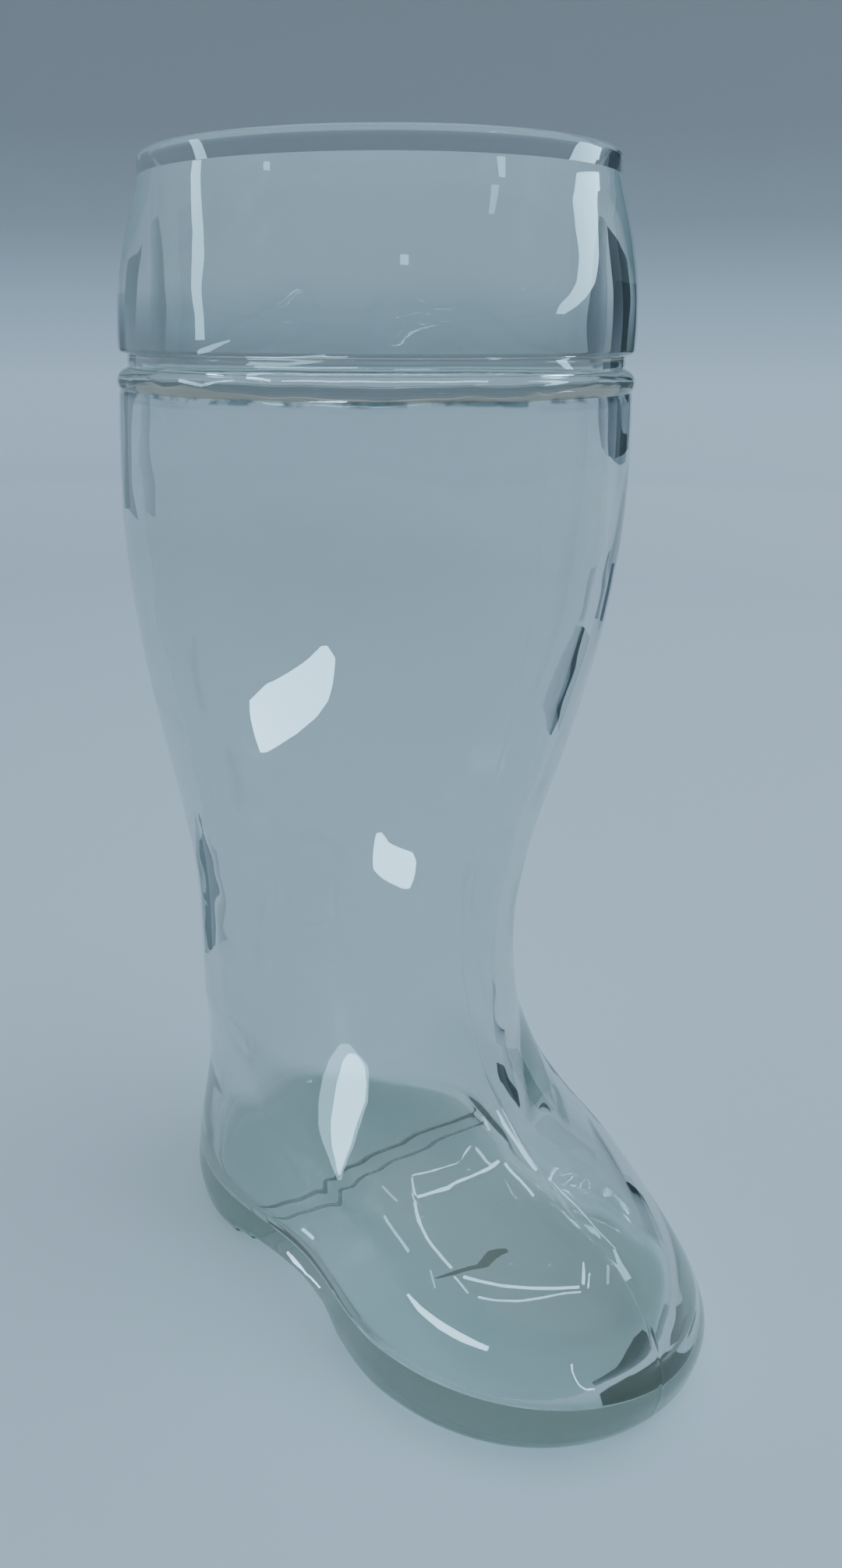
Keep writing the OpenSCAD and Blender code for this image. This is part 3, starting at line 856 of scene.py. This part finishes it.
# The painted highlight panes: name, glow, and rows across the pane, each with its two ends in millimetres.
HIGHLIGHT_PANES: Tuple[Tuple[str, float, Rows], ...] = (
    ("calf_highlight", 38, (
        (47.6, -56.7, 129.1, 49.5, -55.1, 129.2), (43, -59, 125.9, 51.2, -52.5, 126),
        (38.1, -61.2, 123.5, 50.5, -52.3, 123.6), (25, -65, 118.9, 49, -51.8, 119.2),
        (16.4, -65.5, 114.5, 46.4, -51.9, 114.7), (15.3, -64.3, 110.4, 41.5, -53.8, 110.5),
        (15.6, -63, 106.4, 33.5, -57.1, 106.4), (16.7, -61.4, 101.9, 19.2, -60.9, 101.9)
    )),
    ("ankle_highlight", 33, (
        (39.7, -24.3, 96.2, 40.5, -23, 96.2), (38.9, -24.4, 93.8, 40.9, -20.5, 93.8),
        (38.3, -24.2, 91.8, 42.6, -13.8, 91.7), (37.9, -24, 89.7, 42.6, -12.2, 89.6),
        (37.8, -23.6, 87.9, 42.4, -12, 87.8), (38.8, -21.1, 86.1, 42.1, -12.1, 85.9),
        (41, -15.2, 83.9, 41.7, -12.9, 83.8)
    )),
    ("heel_highlight", 38, (
        (29.4, -27, 54.2, 30.8, -25.8, 54.5), (28.7, -28.4, 52, 32.8, -24.6, 52.5),
        (28.6, -29.8, 50.2, 33.8, -25, 51.4), (29, -31.3, 46.8, 34.6, -26.3, 48.8),
        (29.4, -32.9, 43.4, 34.6, -28.8, 45.3), (31.1, -34, 40.5, 34.7, -30.9, 42.5),
        (34.5, -35.3, 36.5, 35, -34.9, 37)
    )),
    ("heel_highlight_edge", 11, (
        (28.2, -28.9, 55.6, 30, -27.4, 56), (26.5, -30.9, 52, 32.9, -25.4, 53.3),
        (25.9, -32.6, 50.5, 34.4, -25.1, 52.2), (25.9, -34.4, 46.1, 35.4, -26.3, 49.8),
        (26.5, -35.6, 42.3, 35.6, -29, 46), (29.1, -36.1, 39.6, 35.3, -31.1, 43.4),
        (34.3, -36.7, 35.6, 35.3, -36.2, 36.5)
    )),
    ("sole_highlight", 36, (
        (58.5, -43.2, 24.7, 59, -42.9, 25.4), (62.7, -42.9, 23.4, 63.5, -42.1, 25.1),
        (68.5, -41.6, 23.1, 69, -40.4, 25.1), (74.7, -39.1, 23.5, 74.9, -38, 25.4),
        (80.5, -35.8, 24.2, 80.5, -35.2, 25.4)
    )),
    ("cuff_left_highlight", 13, (
        (-2.6, -59, 224.3, -0.3, -59.4, 224.2), (-4.3, -55.8, 228.4, -0.8, -56.5, 228.7),
        (-3.9, -56.5, 226.2, 0, -57.2, 226.5), (-1.5, -58.4, 221.8, 2.8, -58.9, 222.1),
        (1.2, -60.7, 216, 5.5, -61.1, 216.3), (2.5, -62.3, 210.5, 7.3, -62.6, 210.8),
        (3.3, -63.6, 204.2, 7.3, -63.8, 204.4), (5.3, -64.4, 197.7, 8.7, -64.5, 197.8),
        (5.5, -64.6, 192.3, 9.2, -64.7, 192.4)
    )),
    ("cuff_left_foot", 11, (
        (14, -47.7, 189.2, 14, -48.5, 190.9), (18, -47.3, 191.3, 17.7, -47.4, 192),
        (21.1, -46.1, 192.4, 21, -46.1, 192.7)
    )),
    ("cuff_right_highlight", 13, (
        (48.5, 29.9, 224.9, 45.7, 32.6, 225.4), (50.6, 27.7, 222.4, 43.8, 34.5, 222.9),
        (50, 25.2, 226.1, 42.3, 33.5, 225.1), (53.4, 22.2, 222, 46.1, 31.5, 221),
        (55.5, 22.4, 216.3, 49.1, 30.9, 215.6), (56.5, 23.2, 211, 51.1, 30.6, 210.5),
        (57.9, 22.5, 207.4, 52.8, 29.7, 207), (58.8, 21.8, 205.1, 54, 28.8, 204.8),
        (60.6, 19.1, 202.4, 56.7, 25.9, 202.2), (62.4, 15.7, 200.4, 59.1, 22.5, 200.2),
        (63, 14.6, 198.5, 61.6, 17.8, 198.4)
    )),
    ("first_spot", 11, ((20, -80, 246.3, 23.3, -79.3, 246.6), (20.6, -80.2, 245.1, 23.9, -79.5, 245.4))),
    ("second_spot", 12, ((82.3, -44.8, 224.9, 84.2, -41, 224.9), (83.4, -45.4, 221.1, 85.3, -41.6, 221))),
    ("third_spot", 11, ((81.6, 8.2, 247.1, 80.7, 12.9, 246.6), (82.3, 8.5, 244.2, 81.7, 11.9, 243.8))),
    ("third_spot_foot", 7, ((83.1, 4, 243.5, 82.6, 8.1, 243.1), (87.4, 0.8, 235.1, 87.1, 3.7, 234.9))),
    ("frame_far", 24, (
        (47.9, -25.7, 48.5, 47.7, -25.5, 48.7), (49.4, -22.8, 49.4, 49.2, -22.7, 49.6),
        (50.6, -20.4, 50, 50.4, -20.4, 50.2), (51.7, -18.4, 50.6, 51.6, -18.5, 50.7),
        (52.9, -16.7, 51, 52.8, -16.8, 51.1), (53.9, -15.2, 51.5, 53.8, -15.4, 51.5),
        (54.8, -13.9, 51.9, 54.6, -14.2, 51.9), (55.6, -12.4, 52.4, 55.4, -12.7, 52.4)
    )),
    ("frame_left", 22, (
        (47.8, -26.1, 48.2, 48.1, -25.7, 48.4), (48.5, -26.3, 47.5, 48.7, -25.9, 47.7),
        (49.5, -26.5, 46.7, 49.8, -26.1, 46.9)
    )),
    ("frame_second", 27, (
        (50.2, -26.2, 46.6, 49.8, -26.1, 46.9), (52, -22.9, 47.6, 51.7, -22.9, 47.8),
        (54.2, -19.6, 48.5, 53.8, -19.6, 48.7), (55.3, -16.2, 49.6, 54.8, -16.2, 49.9),
        (56.4, -12.9, 50.4, 56.1, -13, 50.6), (58.2, -8.7, 51.3, 57.9, -8.8, 51.5),
        (59, -6, 51.8, 58.8, -6.3, 52)
    )),
    ("frame_right", 19, ((56.1, -11.7, 52.4, 56.2, -11.3, 52.5), (58.4, -8.1, 51.4, 58.5, -7.7, 51.5))),
    ("frame_right_line", 24, (
        (59.5, -5, 51.7, 59.6, -4.2, 51.8), (61.9, -3.1, 50.1, 61.9, -2.2, 50.2),
        (65.2, -1.9, 48.4, 65.2, -1.1, 48.4)
    )),
    ("frame_long", 24, (
        (50.1, -27.7, 45.9, 50.5, -27, 46.1), (51.5, -28.6, 44.9, 51.8, -28, 45.1),
        (52.6, -28.5, 44.2, 52.9, -27.9, 44.5), (55.4, -29.9, 42.8, 55.4, -28.9, 43.2),
        (58.9, -32, 40.9, 58.8, -30.8, 41.6), (62.5, -33.1, 38.8, 62.5, -32.1, 39.5),
        (65.7, -33.2, 37.2, 65.8, -32.4, 37.9)
    )),
    ("frame_long_foot", 22, ((67.2, -33.9, 35.8, 67.3, -33.4, 36.2), (71.4, -33.5, 33.8, 71.5, -33.1, 34.2))),
    ("frame_near", 27, (
        (68.9, -32.2, 36.6, 68.6, -31.5, 37.4), (72.3, -29.3, 37.3, 72, -28.7, 38),
        (75.8, -26, 38, 75.3, -25.4, 38.6), (78.7, -22.3, 38.8, 78.2, -21.7, 39.4),
        (81.2, -18.9, 39.5, 80.6, -18.2, 40), (83.3, -15.3, 40, 82.6, -14.7, 40.5),
        (86, -9.1, 40.6, 85.3, -8.5, 41.1)
    )),
    ("frame_near_second", 22, (
        (73.7, -32.1, 33.9, 73.5, -31.8, 34.4), (77.2, -28.9, 34.9, 77, -28.6, 35.3),
        (80.8, -24.5, 36.3, 80.5, -24.2, 36.7), (83.5, -19.2, 38, 83.1, -19, 38.4),
        (85.5, -13.7, 39.5, 85.1, -13.3, 39.8), (87.3, -9.6, 39.8, 86.9, -9.2, 40.2)
    )),
    ("tick", 27, (
        (78.6, -1.2, 43.1, 78.7, -0.8, 43.1), (81.8, -4.4, 42.6, 82.1, -3.6, 42.5),
        (85.2, -7.5, 41.3, 85.6, -6.7, 41.2)
    )),
    ("tick_second", 24, ((82.5, -2.6, 42.4, 82.7, -2.2, 42.3), (86.9, -7.1, 40.6, 87.1, -6.6, 40.5))),
    ("tick_third", 9, ((81.9, 4.6, 41.7, 82.2, 5.4, 41.4), (88.1, -0.4, 40.3, 88.4, 0.5, 40.1))),
    ("tick_fourth", 12, (
        (78.4, 10.2, 40.6, 78.4, 11, 40.3), (83.1, 8.2, 40.2, 83.1, 10.1, 39.4),
        (89.2, 5.6, 38.6, 88, 9.5, 36.2)
    )),
    ("dash_first", 11, ((43.4, -32.5, 45.6, 43.6, -32, 45.9), (47.5, -31.3, 44.8, 47.5, -30.7, 45.2))),
    ("dash_second", 16, (
        (46.4, -36.1, 41.5, 46.6, -35.1, 42.2), (51.9, -38.5, 37.6, 52, -37.4, 38.8),
        (56.1, -39.2, 34.8, 56.4, -38.5, 35.7)
    )),
    ("dash_third", 11, ((62.1, -37.6, 34, 62.4, -37.1, 34.5), (64.6, -38.8, 30.8, 64.9, -38.4, 31.2))),
    ("seam_shine", 19, (
        (55.4, 2.7, 55.8, 55.3, 3.6, 55.7), (57.5, 1.9, 54.1, 57.2, 4, 53.8),
        (59.2, 3.2, 52.3, 58.9, 5, 52), (62.2, 4.9, 49.7, 61.3, 7.8, 48.2)
    )),
    ("seam_shine_low", 12, (
        (63.2, 8.3, 47, 63.3, 8.3, 47.2), (66.1, 9, 45.5, 65.9, 9.8, 45.2),
        (68.9, 10.2, 43.8, 68.8, 10.7, 43.6), (78.7, 11.1, 40.2, 78.6, 11.5, 40.1)
    )),
    ("seam_shine_second", 11, ((55.3, -5.8, 55.8, 55.4, -4.4, 55.9), (57, -5.7, 54.2, 57.2, -4.4, 54.4))),
    ("arch_shine", 19, (
        (19.9, -36.2, 5, 20.4, -36.1, 5.8), (22.1, -35.5, 3.7, 23.1, -35.7, 5.3),
        (26.3, -35.1, 3.9, 26.7, -35.3, 4.6), (32.3, -35.4, 5.1, 32.6, -35.5, 5.6)
    )),
    ("arch_shine_second", 9, ((24, -34.9, 13.5, 24.6, -34.8, 14.5), (28.2, -34.6, 14, 29, -34.6, 15.1))),
    ("toe_line", 27, (
        (93.4, -19.2, 23.5, 93.6, -18.8, 23.6), (94.3, -19.5, 21.8, 94.5, -19.1, 21.8),
        (95.7, -19.1, 19.5, 95.8, -18.8, 19.7), (96.8, -18.5, 17.6, 96.8, -18.2, 17.9),
        (98, -16.9, 16.2, 97.9, -16.8, 16.7), (98.8, -15, 16.2, 98.7, -15.1, 16.8)
    )),
    ("bead_line", 16, (
        (28.8, -39.6, 187.6, 28.5, -39.3, 187.8), (35.7, -33.6, 187.6, 35.3, -33.2, 187.8),
        (41.2, -26.5, 187.7, 40.8, -26.2, 187.8), (45.4, -18.5, 187.6, 44.9, -18.3, 187.8),
        (47.6, -11.2, 187.6, 47.2, -11, 187.7), (46.9, -7.6, 187.8, 46.1, -7.2, 187.6)
    )),
    ("bead_line_second", 14, (
        (23.7, -42.2, 188.4, 23.7, -42.2, 188.7), (31.3, -37.1, 188.4, 31.3, -37.1, 188.6),
        (37.7, -30.6, 188.5, 37.7, -30.6, 188.7)
    )),
    ("bead_line_third", 12, (
        (22.1, -42.3, 188.8, 23.1, -42.6, 189.2), (28.3, -38.1, 188.8, 29.4, -38.8, 189.1),
        (34.8, -35, 189.3, 35.3, -35.5, 190.2)
    )),
    ("bead_glint", 16, ((22.8, -42.5, 187.8, 22, -41.6, 187.7), (27.3, -40.8, 187.5, 26.8, -40.2, 187.8))),
    ("bead_glint_left", 12, ((9.7, -48.8, 186.5, 9.3, -48.2, 187.2), (15.8, -47.7, 185.5, 15.8, -47.4, 186.3))),
    ("bead_glint_right", 14, ((48.9, 4.1, 189.5, 48.4, 6.9, 189.5), (47.7, 6.4, 188.2, 47.3, 8.5, 188.1))),
)


@dataclass(frozen=True)
class Pane:
    """A pane beside the glass, seen only in the glass.

    Dark panes paint shade and dark reflections in the glass, and bright ones paint its
    highlights. They aren't part of the glass.
    """

    name: str
    rows: Tuple[Tuple[Point, Point], ...]
    seen: Seen = Seen.BOTH
    tone: Colour = (0.05, 0.06, 0.07, 1.0)
    glow: float = 0.0

    def material(self) -> bpy.types.Material:
        """Makes the pane's paint, dark and dull or glowing.

        Returns:
            The material.
        """
        mat = new_material(self.name)
        shader = mat.node_tree.nodes["Principled BSDF"]
        shader.inputs["Base Color"].default_value = self.tone
        shader.inputs["Roughness"].default_value = 0.9
        if self.glow > 0:
            shader.inputs["Emission Color"].default_value = self.tone
            shader.inputs["Emission Strength"].default_value = self.glow
            self.clear_back(mat.node_tree)
        return mat

    def clear_back(self, tree: Tree) -> None:
        """Lets light through from behind, so that a bright pane shows only on the side of its skin.

        Args:
            tree: The pane's material nodes.
        """
        behind = add_node(tree, "NewGeometry").outputs["Backfacing"]
        clear = add_node(tree, "BsdfTransparent").outputs["BSDF"]
        surface = mix_shaders(tree, behind, tree.nodes["Principled BSDF"].outputs["BSDF"], clear)
        feed(tree, tree.nodes["Material Output"].inputs["Surface"], surface)

    def build(self) -> bpy.types.Object:
        """Makes the pane.

        Returns:
            The pane object.
        """
        bm = bmesh.new()
        rows = [[bm.verts.new(point) for point in row] for row in self.rows]
        for (a, b), (c, d) in zip(rows, rows[1:]):
            bmesh.ops.contextual_create(bm, geom=[a, b, d, c])
        bm.normal_update()
        away = [f for f in bm.faces if f.normal.dot(self.faces_to(f.calc_center_median())) < 0]
        bmesh.ops.reverse_faces(bm, faces=away)
        pane = place_mesh(self.name, bm)
        pane.data.materials.append(self.material())
        pane.visible_camera = pane.visible_diffuse = pane.visible_shadow = False
        pane.visible_glossy = self.seen is not Seen.THROUGH
        pane.visible_transmission = self.seen is not Seen.SKIN
        return pane

    def faces_to(self, place: Vector) -> Vector:
        """The way from a place on the pane to the glass.

        Args:
            place: The place, in metres.

        Returns:
            The way to the foot's middle, or to the shaft's axis for a pane higher up.
        """
        middle = Vector(FOOT_MIDDLE) if place.z < FOOT_TOP else Vector((0.0, 0.0, place.z))
        return middle - place


def upright(
    name: str,
    start: Tuple[float, float],
    end: Tuple[float, float],
    low: float,
    top: float,
    tone: Colour,
    seen: Seen = Seen.BOTH,
) -> Pane:
    """A dark pane that stands upright: painted shade, seen only in the glass.

    Args:
        name: Name of the pane.
        start: Where its foot starts.
        end: Where its foot ends.
        low: Height of its lower edge.
        top: Height of its upper edge.
        tone: Its paint.
        seen: Where it is seen.

    Returns:
        The pane.
    """
    return Pane(name, (((*start, low), (*end, low)), ((*start, top), (*end, top))), seen, tone)


@dataclass(frozen=True)
class Lamp:
    """A soft rectangular lamp, placed by direction and distance from the glass."""

    name: str
    azimuth: float
    elevation: float
    distance: float
    width: float
    height: float
    watts: float
    aim: Point = (0.0, 0.0, 0.11)

    def build(self) -> bpy.types.Object:
        """Makes the lamp.

        Returns:
            The lamp object.
        """
        light = bpy.data.lights.new(self.name, "AREA")
        light.shape = "RECTANGLE"
        light.size, light.size_y = self.width, self.height
        light.energy = self.watts
        lamp = bpy.data.objects.new(self.name, light)
        a, e = math.radians(self.azimuth), math.radians(self.elevation)
        out = Vector((math.sin(a) * math.cos(e), -math.cos(a) * math.cos(e), math.sin(e)))
        lamp.location = Vector(self.aim) + out * self.distance
        lamp.rotation_euler = (-out).to_track_quat("-Z", "Y").to_euler()
        lamp.visible_camera = lamp.visible_glossy = lamp.visible_transmission = False
        bpy.context.scene.collection.objects.link(lamp)
        return lamp


def row_ends(row: Sequence[float]) -> Tuple[Point, Point]:
    """The two ends of a pane's row.

    Args:
        row: Their six coordinates, in millimetres.

    Returns:
        The two points, in metres.
    """
    x0, y0, z0, x1, y1, z1 = (v * MM for v in row)
    return (x0, y0, z0), (x1, y1, z1)


def highlight_panes() -> List[Pane]:
    """The bright panes close to the glass, painted highlights, each mirrored in one place of its skin."""
    return [
        Pane(name, tuple(row_ends(row) for row in rows), Seen.SKIN, HIGHLIGHT_TONE, glow)
        for name, glow, rows in HIGHLIGHT_PANES
    ]


def floor_shadow(name: str, tone: Colour, rows: Iterable[Sequence[float]]) -> Pane:
    """A dark pane of painted shadow that lies just above the floor, seen through the foot.

    Args:
        name: Name of the pane.
        tone: Its paint.
        rows: The x and y of each row's two ends, in millimetres.

    Returns:
        The pane.
    """
    return Pane(name, tuple(row_ends((a, b, FLOOR_SHADOW_Z, c, d, FLOOR_SHADOW_Z)) for a, b, c, d in rows), Seen.THROUGH, tone)


def edge_panes() -> List[Pane]:
    """The dark panes: upright ones draw painted shade along the glass's edges, and the ones on the floor draw painted
    shadow in its foot.
    """
    ink = (0.05, 0.06, 0.07, 1.0)
    moss = (0.09, 0.12, 0.11, 1.0)
    grey = (0.16, 0.19, 0.20, 1.0)
    dusk = (0.21, 0.25, 0.26, 1.0)
    shade = (0.30, 0.35, 0.38, 1.0)
    toe = ((86, -4, 96, -6), (85, 4, 99, 3), (82, 10, 99, 10), (80, 14, 98, 15), (80, 18, 95, 20))
    toe_side = ((88, 22, 94, 23), (84, 27, 97, 31), (80, 32, 92, 42))
    sole_edge = ((41.0, -7.7, 41.5, -7.7), (41, -3, 42.2, -3), (40.9, 2, 42.4, 2), (42, 6, 43.6, 6), (44.2, 9, 45, 9))
    arch = ((8, -37, 8, -32), (20, -37, 20, -30.5), (32, -37, 32, -30.5), (43, -41, 43, -33))
    return [
        # Upright panes of painted shade, seen only in the glass.
        upright("right_card", (0.0, 0.24), (0.06, 0.24), 0.010, 0.066, ink),
        upright("right_card_top", (-0.075, 0.24), (-0.04, 0.24), 0.078, 0.105, grey),
        upright("left_card", (-0.13, -0.055), (-0.13, -0.012), 0.0, 0.03, dusk),
        upright("cuff_card", (0.015, 0.33), (-0.11, 0.294), 0.15, 0.29, ink),
        upright("far_left_card", (-0.80, -0.11), (-0.80, 0.10), 0.05, 0.31, shade),
        upright("instep_card", (-0.003, 0.060), (0.015, 0.060), 0.008, 0.019, ink, Seen.THROUGH),
        # Panes of painted shadow on the floor, seen through the foot.
        floor_shadow("toe_shadow", moss, toe),
        floor_shadow("toe_side_shadow", grey, toe_side),
        floor_shadow("sole_edge_shadow", dusk, sole_edge),
        floor_shadow("arch_shadow", grey, arch),
    ]


@dataclass
class Studio:
    """The light round the glass."""

    sky: Colour = (0.62, 0.70, 0.78, 1.0)
    sky_strength: float = 1.08
    sky_seen: float = 0.55
    lamps: Tuple[Lamp, ...] = (
        Lamp("overhead", 150.0, 66.0, 1.9, 1.4, 1.4, 17.0),
    )

    def make_sky(self) -> bpy.types.World:
        """Makes the sky, dimmer where the glass mirrors it or lets it through.

        Returns:
            The world.
        """
        world = bpy.data.worlds.new("studio_sky")
        world.use_nodes = True
        tree = world.node_tree
        back = tree.nodes["Background"]
        back.inputs["Color"].default_value = self.sky
        path = add_node(tree, "LightPath").outputs
        in_glass = add_math(tree, "MAXIMUM", path["Is Glossy Ray"], path["Is Transmission Ray"])
        direct = add_math(tree, "LESS_THAN", path["Diffuse Depth"], 0.5)
        seen = add_math(tree, "MULTIPLY", in_glass, direct)
        dim = add_node(tree, "MapRange", Value=seen, To_Min=self.sky_strength, To_Max=self.sky_seen)
        tree.links.new(dim.outputs["Result"], back.inputs["Strength"])
        return world

    def build(self) -> None:
        """Sets the sky and makes the lamps and the panes."""
        bpy.context.scene.world = self.make_sky()
        items = (*self.lamps, *highlight_panes(), *edge_panes())
        for item in items:
            item.build()
        LOG.info("%d lamps and panes", len(items))


@dataclass
class Viewpoint:
    """The camera, as the photograph was taken."""

    azimuth: float = 54.183
    heading: float = 56.792
    pitch: float = 20.138
    roll: float = 0.186
    distance: float = 0.25719
    height: float = 0.19531
    focal_px: float = 1613.5
    centre_px: float = 400.8
    frame_px: Tuple[int, int] = (1080, 2012)

    def build(self) -> bpy.types.Object:
        """Makes the camera.

        Returns:
            The camera object.
        """
        data = bpy.data.cameras.new("photo_camera")
        data.sensor_width = 36.0
        data.lens = self.focal_px / self.frame_px[1] * data.sensor_width
        data.shift_x = (self.frame_px[0] / 2 - self.centre_px) / self.frame_px[1]
        data.clip_start, data.clip_end = 0.01, 20.0
        camera = bpy.data.objects.new("photo_camera", data)
        a, h, p, r = (math.radians(v) for v in (self.azimuth, self.heading, self.pitch, self.roll))
        forward = Vector((-math.sin(h) * math.cos(p), math.cos(h) * math.cos(p), -math.sin(p)))
        right = Vector((math.cos(h), math.sin(h), 0.0))
        up = right.cross(forward)
        level = Matrix((right, up, -forward)).transposed()
        turn = Matrix.Rotation(r, 3, "Z")
        place = Vector((math.sin(a) * self.distance, -math.cos(a) * self.distance, self.height))
        camera.matrix_world = Matrix.Translation(place) @ (level @ turn).to_4x4()
        bpy.context.scene.collection.objects.link(camera)
        bpy.context.scene.camera = camera
        return camera


def main() -> None:
    """Builds the glass, the stage, the light and the camera."""
    logging.basicConfig(level=logging.INFO, format="%(name)s: %(message)s")
    glass = BootGlass().build()
    glass.data.materials.append(ClearGlass().material())
    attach(glass, "root")
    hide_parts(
        "rim", "cuff", "groove", "bead", "calf", "ankle", "foot", "base", "heel", "front_sole"
    )
    LOG.info("%s: %d faces", glass.name, len(glass.data.polygons))
    floor = Stage().build()
    LOG.info("%s: %d faces", floor.name, len(floor.data.polygons))
    Studio().build()
    Viewpoint().build()


if __name__ == "__main__":
    main()
